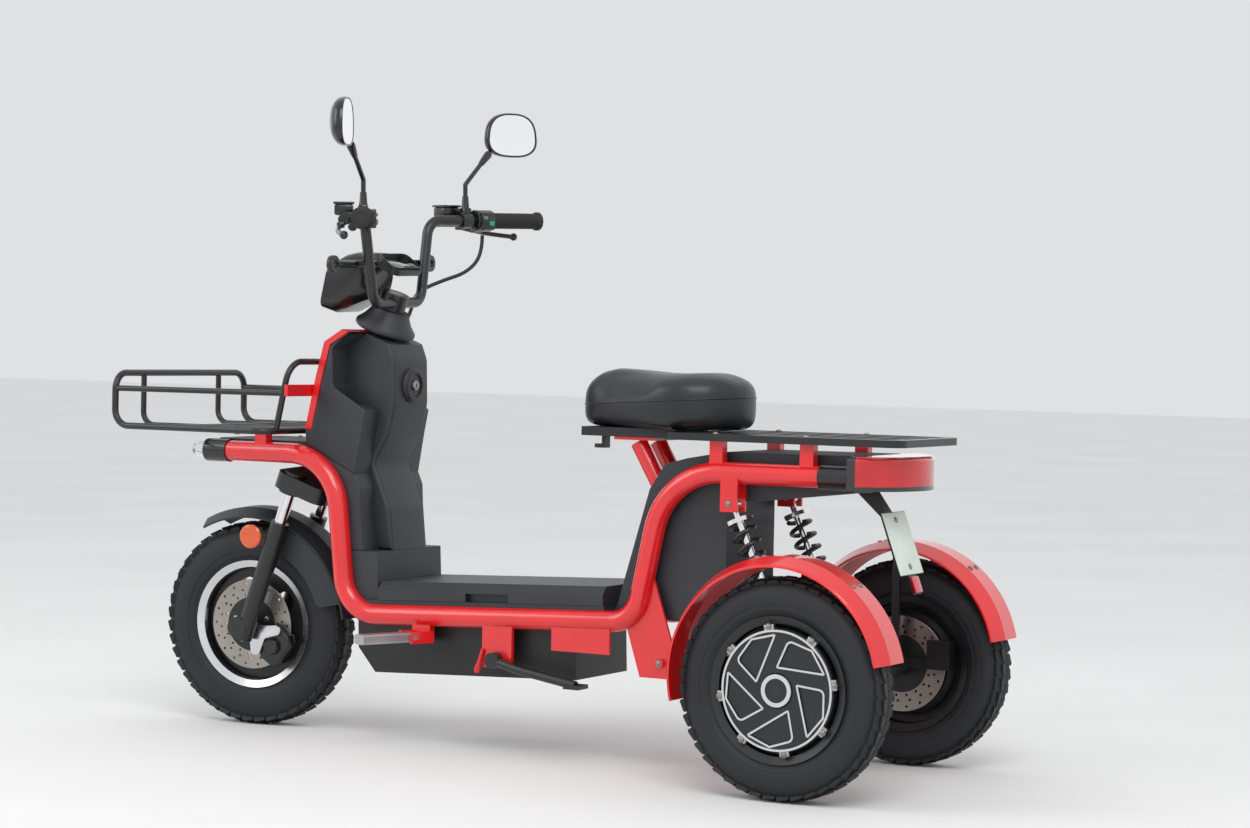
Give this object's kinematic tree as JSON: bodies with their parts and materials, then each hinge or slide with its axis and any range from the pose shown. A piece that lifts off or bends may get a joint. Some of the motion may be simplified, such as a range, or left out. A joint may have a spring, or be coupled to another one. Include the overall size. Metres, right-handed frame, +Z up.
{
  "type": "electric three-wheeled cargo scooter",
  "caption": "Step-through electric cargo tricycle scooter: one steered front wheel, two rear hub-motor wheels, tube frame, front basket, padded saddle and rear rack.",
  "frame": {"origin": "on the floor, under the middle of the bounding box", "axes": "+X forward, +Y to the rider's left, +Z up; the steering rests 5.8 degrees to the left"},
  "size_m": [1.8228, 0.8929, 1.32],
  "materials": {
    "red_paint": "gloss",
    "black_paint": "satin",
    "charcoal_plastic": "matte, lightly grained",
    "black_plastic": "satin",
    "black_trim": "gloss",
    "tyre_rubber": "matte",
    "grip_rubber": "ribbed",
    "motor_black": "satin",
    "rim_metal": "polished",
    "disc_steel": "brushed",
    "bright_steel": "polished",
    "alloy": "satin",
    "saddle_vinyl": "soft grained vinyl",
    "battery_case": "satin",
    "red_lens": "translucent gloss",
    "clear_lens": "clear",
    "mirror_silver": "mirror"
  },
  "bodies": {
    "chassis": {"frame_left": "red_paint", "frame_right": "red_paint", "frame_cross": "red_paint", "swing_arm": "red_paint", "axle_beam": "black_paint", "dampers": "bright_steel", "springs": "black_paint", "rear_fender_left": "red_paint", "rear_fender_right": "red_paint", "leg_shield": "charcoal_plastic", "front_panel": "red_paint", "front_deck": "charcoal_plastic", "floor_tray": "charcoal_plastic", "battery_tub": "black_plastic", "battery": "battery_case", "rear_fairing": "charcoal_plastic", "seat_post": "red_paint", "seat_pan": "black_plastic", "seat": "saddle_vinyl", "rear_rack": "black_paint", "tail_lamp": "red_lens", "tube_caps": "black_trim", "front_lenses": "clear_lens", "plate_bracket": "black_plastic", "front_basket": "black_paint"},
    "steering": {"fork_crown": "black_paint", "fork_tubes": "bright_steel", "fork_lowers": "black_paint", "front_caliper": "alloy", "front_fender": "charcoal_plastic", "handlebar": "black_paint", "grips": "grip_rubber", "bar_controls": "black_trim", "mirrors": "black_trim", "mirror_glass": "mirror_silver", "stem_cover": "charcoal_plastic", "headlamp": "black_trim", "headlamp_lens": "clear_lens", "instrument_pod": "black_plastic"},
    "front_wheel": {"front_tyre": "tyre_rubber", "front_rim": "rim_metal", "front_disc": "disc_steel"},
    "rear_left_wheel": {"rear_tyre_left": "tyre_rubber", "rear_wheel_left": "motor_black", "rear_disc_left": "disc_steel"},
    "rear_right_wheel": {"rear_tyre_right": "tyre_rubber", "rear_wheel_right": "motor_black", "rear_disc_right": "disc_steel"},
    "side_stand": {"side_stand": "black_paint"},
    "footpeg_left": {"footpeg_left": "alloy"},
    "footpeg_right": {"footpeg_right": "alloy"},
    "floor_lid": {"floor_lid": "charcoal_plastic"}
  },
  "joints": [
    {"name": "steering", "type": "hinge", "parent": "chassis", "child": "steering", "pos_m": [0.3725, 0, 0.875], "axis": [-0.342, 0, 0.9397], "range_deg": [-45.8, 34.2]},
    {"name": "front_wheel_spin", "type": "hinge", "parent": "steering", "child": "front_wheel", "pos_m": [0.68119, 0.00657, 0.21589], "axis": [-0.095, 0.9949, -0.0346], "continuous": true},
    {"name": "rear_left_spin", "type": "hinge", "parent": "chassis", "child": "rear_left_wheel", "pos_m": [-0.6935, 0.287, 0.205], "axis": [0, 1, 0], "continuous": true},
    {"name": "rear_right_spin", "type": "hinge", "parent": "chassis", "child": "rear_right_wheel", "pos_m": [-0.6935, -0.287, 0.205], "axis": [0, 1, 0], "continuous": true},
    {"name": "side_stand_swing", "type": "hinge", "parent": "chassis", "child": "side_stand", "pos_m": [0.0125, 0.15, 0.194], "axis": [0, -1, 0], "range_deg": [0, 55]},
    {"name": "footpeg_left_fold", "type": "hinge", "parent": "chassis", "child": "footpeg_left", "pos_m": [0.1975, 0.172, 0.23], "axis": [0.9135, -0.4067, 0], "range_deg": [0, 80]},
    {"name": "footpeg_right_fold", "type": "hinge", "parent": "chassis", "child": "footpeg_right", "pos_m": [0.1975, -0.172, 0.23], "axis": [-0.9135, -0.4067, 0], "range_deg": [0, 80]},
    {"name": "floor_lid_hinge", "type": "hinge", "parent": "chassis", "child": "floor_lid", "pos_m": [-0.22139, -0.13, 0.31531], "axis": [0.9993, 0, -0.0386], "range_deg": [0, 80]}
  ]
}
